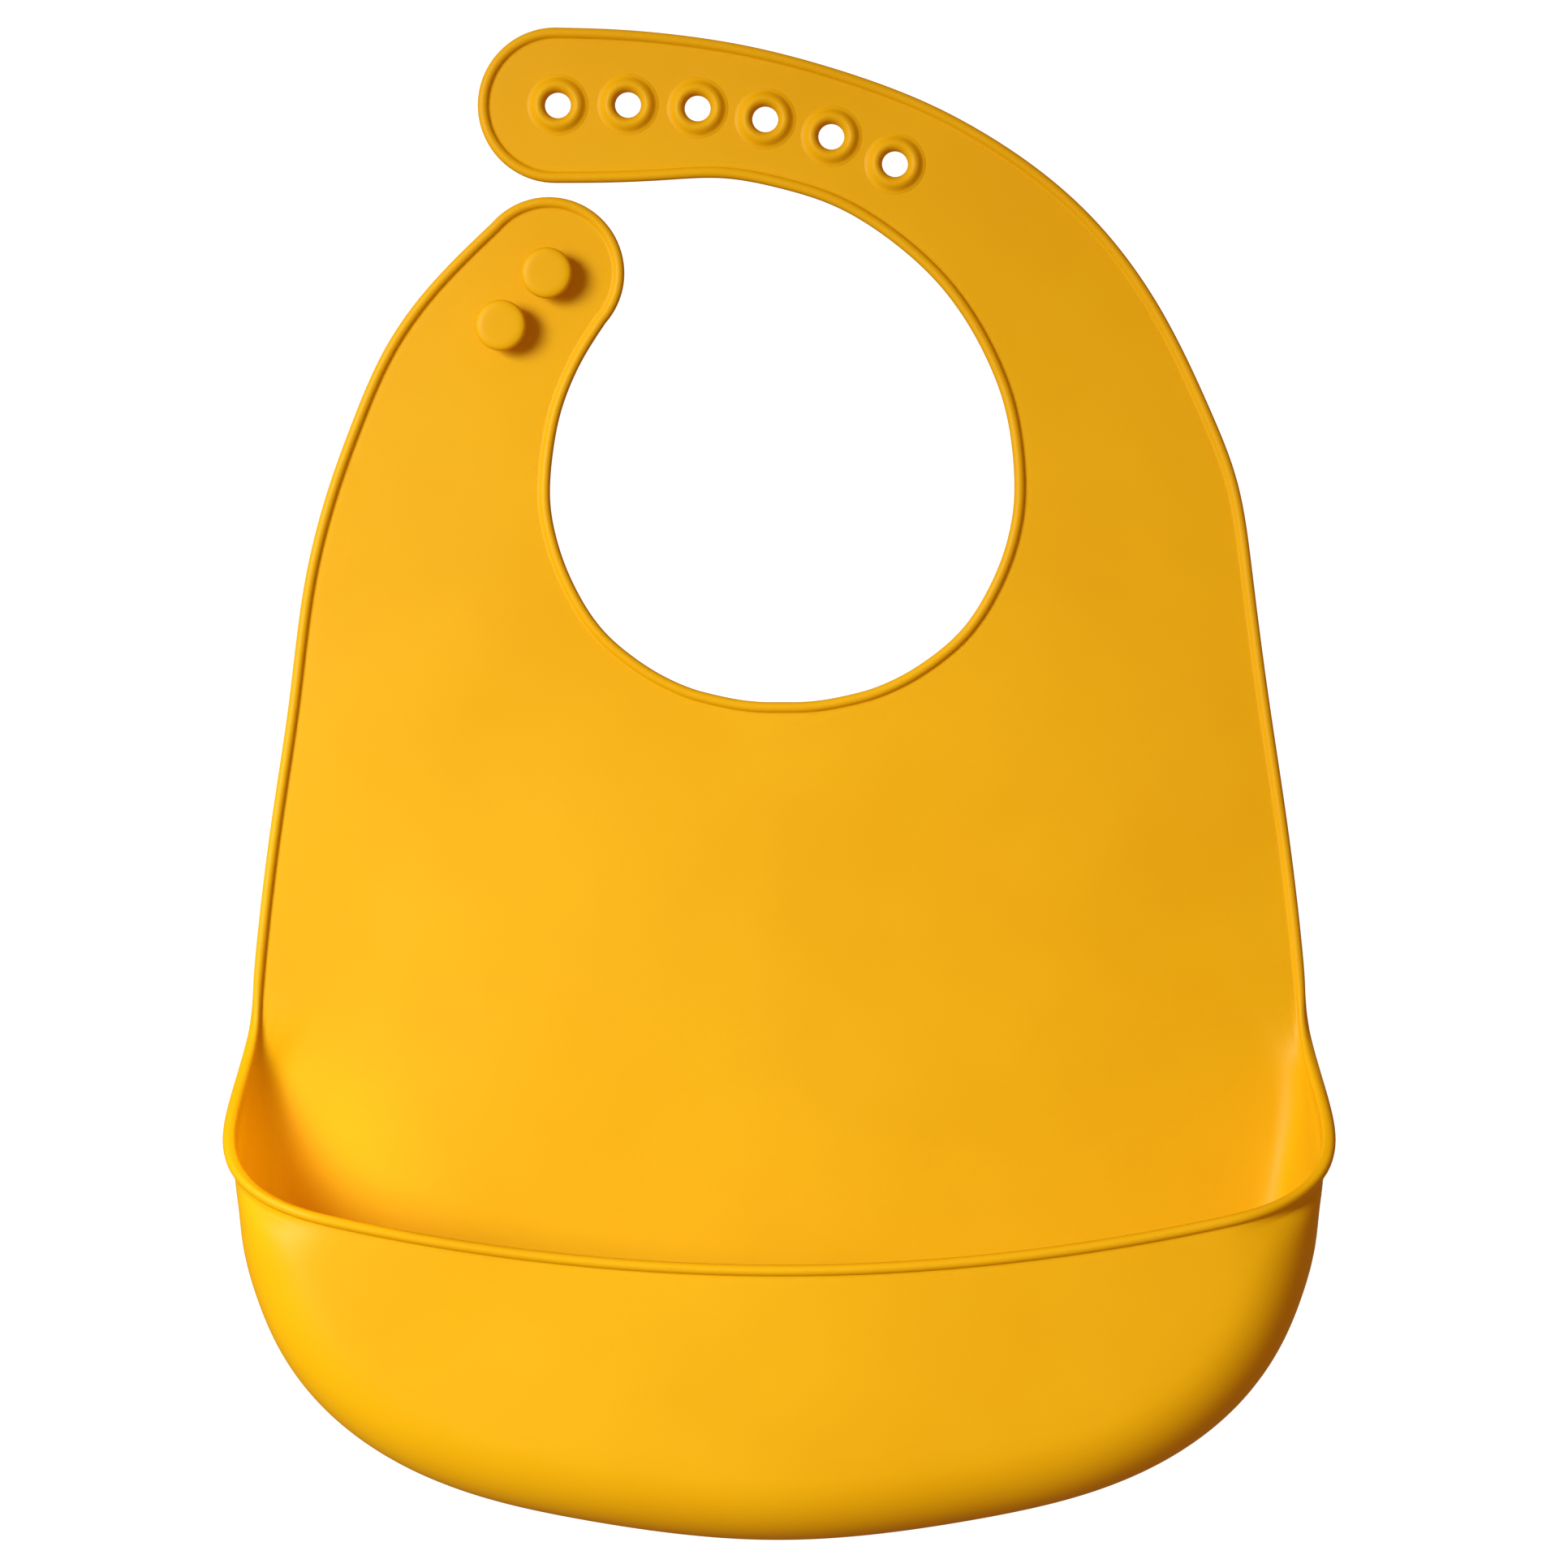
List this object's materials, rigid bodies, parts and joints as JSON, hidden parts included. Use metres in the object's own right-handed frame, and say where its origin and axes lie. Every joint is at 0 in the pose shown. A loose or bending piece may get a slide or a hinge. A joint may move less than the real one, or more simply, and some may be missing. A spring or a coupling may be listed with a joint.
{
  "type": "baby bib",
  "caption": "Flat silicone bib with beaded edges, a deep catch pocket, a stud strap and a longer strap with a row of eyelets.",
  "frame": {"origin": "on the surface the bib lies on, under the centre of its outline", "axes": "+Y towards the neck straps, +Z out of the front (the pocket's side), +X to the right seen from the front with the straps up"},
  "size_m": [0.2196, 0.3006, 0.0385],
  "materials": {
    "silicone": "matte"
  },
  "bodies": {
    "lower_apron": {"apron_lower_panel": "silicone", "pocket_gusset": "silicone"},
    "pocket_front": {"pocket_front_wall": "silicone"},
    "upper_apron": {"apron_upper_panel": "silicone"},
    "long_shoulder": {"long_strap_shoulder": "silicone"},
    "long_nape": {"long_strap_nape": "silicone"},
    "long_inner": {"long_strap_end_inner": "silicone", "eyelet_rim_5": "silicone", "eyelet_rim_6": "silicone"},
    "long_middle": {"long_strap_end_middle": "silicone", "eyelet_rim_3": "silicone", "eyelet_rim_4": "silicone"},
    "long_tip": {"long_strap_tip": "silicone", "eyelet_rim_1": "silicone", "eyelet_rim_2": "silicone"},
    "short_shoulder": {"short_strap_shoulder": "silicone"},
    "short_end": {"short_strap_end": "silicone", "stud_upper": "silicone", "stud_lower": "silicone"}
  },
  "joints": [
    {"name": "apron_fold", "type": "hinge", "parent": "lower_apron", "child": "upper_apron", "pos_m": [0, -0.044, 0.0009], "axis": [1, 0, 0], "range_deg": [-60, 90], "stiffness_Nm_per_rad": 0.03},
    {"name": "pocket_press", "type": "slide", "parent": "lower_apron", "child": "pocket_front", "axis": [0, 0, -1], "range_m": [0, 0.01], "stiffness_N_per_m": 120, "deforming": ["pocket_gusset"]},
    {"name": "long_strap_curl", "type": "hinge", "parent": "upper_apron", "child": "long_shoulder", "pos_m": [0.06995, 0.057, 0.0009], "axis": [-1, 0, 0], "range_deg": [-35, 40], "stiffness_Nm_per_rad": 0.012},
    {"name": "long_nape_flex", "type": "hinge", "parent": "long_shoulder", "child": "long_nape", "pos_m": [0.05975, 0.0875, 0.0009], "axis": [-0.9304, -0.3666, 0], "range_deg": [-35, 40], "stiffness_Nm_per_rad": 0.012},
    {"name": "long_inner_flex", "type": "hinge", "parent": "long_nape", "child": "long_inner", "pos_m": [0.0315, 0.11825, 0.0009], "axis": [-0.4626, -0.8866, 0], "range_deg": [-35, 40], "stiffness_Nm_per_rad": 0.012},
    {"name": "long_middle_flex", "type": "hinge", "parent": "long_inner", "child": "long_middle", "pos_m": [0.004, 0.13055, 0.0009], "axis": [-0.2524, -0.9676, 0], "range_deg": [-35, 40], "stiffness_Nm_per_rad": 0.012},
    {"name": "long_tip_flex", "type": "hinge", "parent": "long_middle", "child": "long_tip", "pos_m": [-0.0234, 0.13445, 0.0009], "axis": [0.0271, -0.9996, 0], "range_deg": [-35, 40], "stiffness_Nm_per_rad": 0.012},
    {"name": "short_strap_curl", "type": "hinge", "parent": "upper_apron", "child": "short_shoulder", "pos_m": [-0.0685, 0.057, 0.0009], "axis": [-1, 0, 0], "range_deg": [-35, 40], "stiffness_Nm_per_rad": 0.012},
    {"name": "short_end_flex", "type": "hinge", "parent": "short_shoulder", "child": "short_end", "pos_m": [-0.06135, 0.0803, 0.0009], "axis": [-0.9641, 0.2656, 0], "range_deg": [-35, 40], "stiffness_Nm_per_rad": 0.012}
  ],
  "couplings": [
    {"joint": "long_nape_flex", "follows": "long_strap_curl", "ratio": 1},
    {"joint": "long_inner_flex", "follows": "long_strap_curl", "ratio": 1},
    {"joint": "long_middle_flex", "follows": "long_strap_curl", "ratio": 1},
    {"joint": "long_tip_flex", "follows": "long_strap_curl", "ratio": 1},
    {"joint": "short_end_flex", "follows": "short_strap_curl", "ratio": 1}
  ]
}
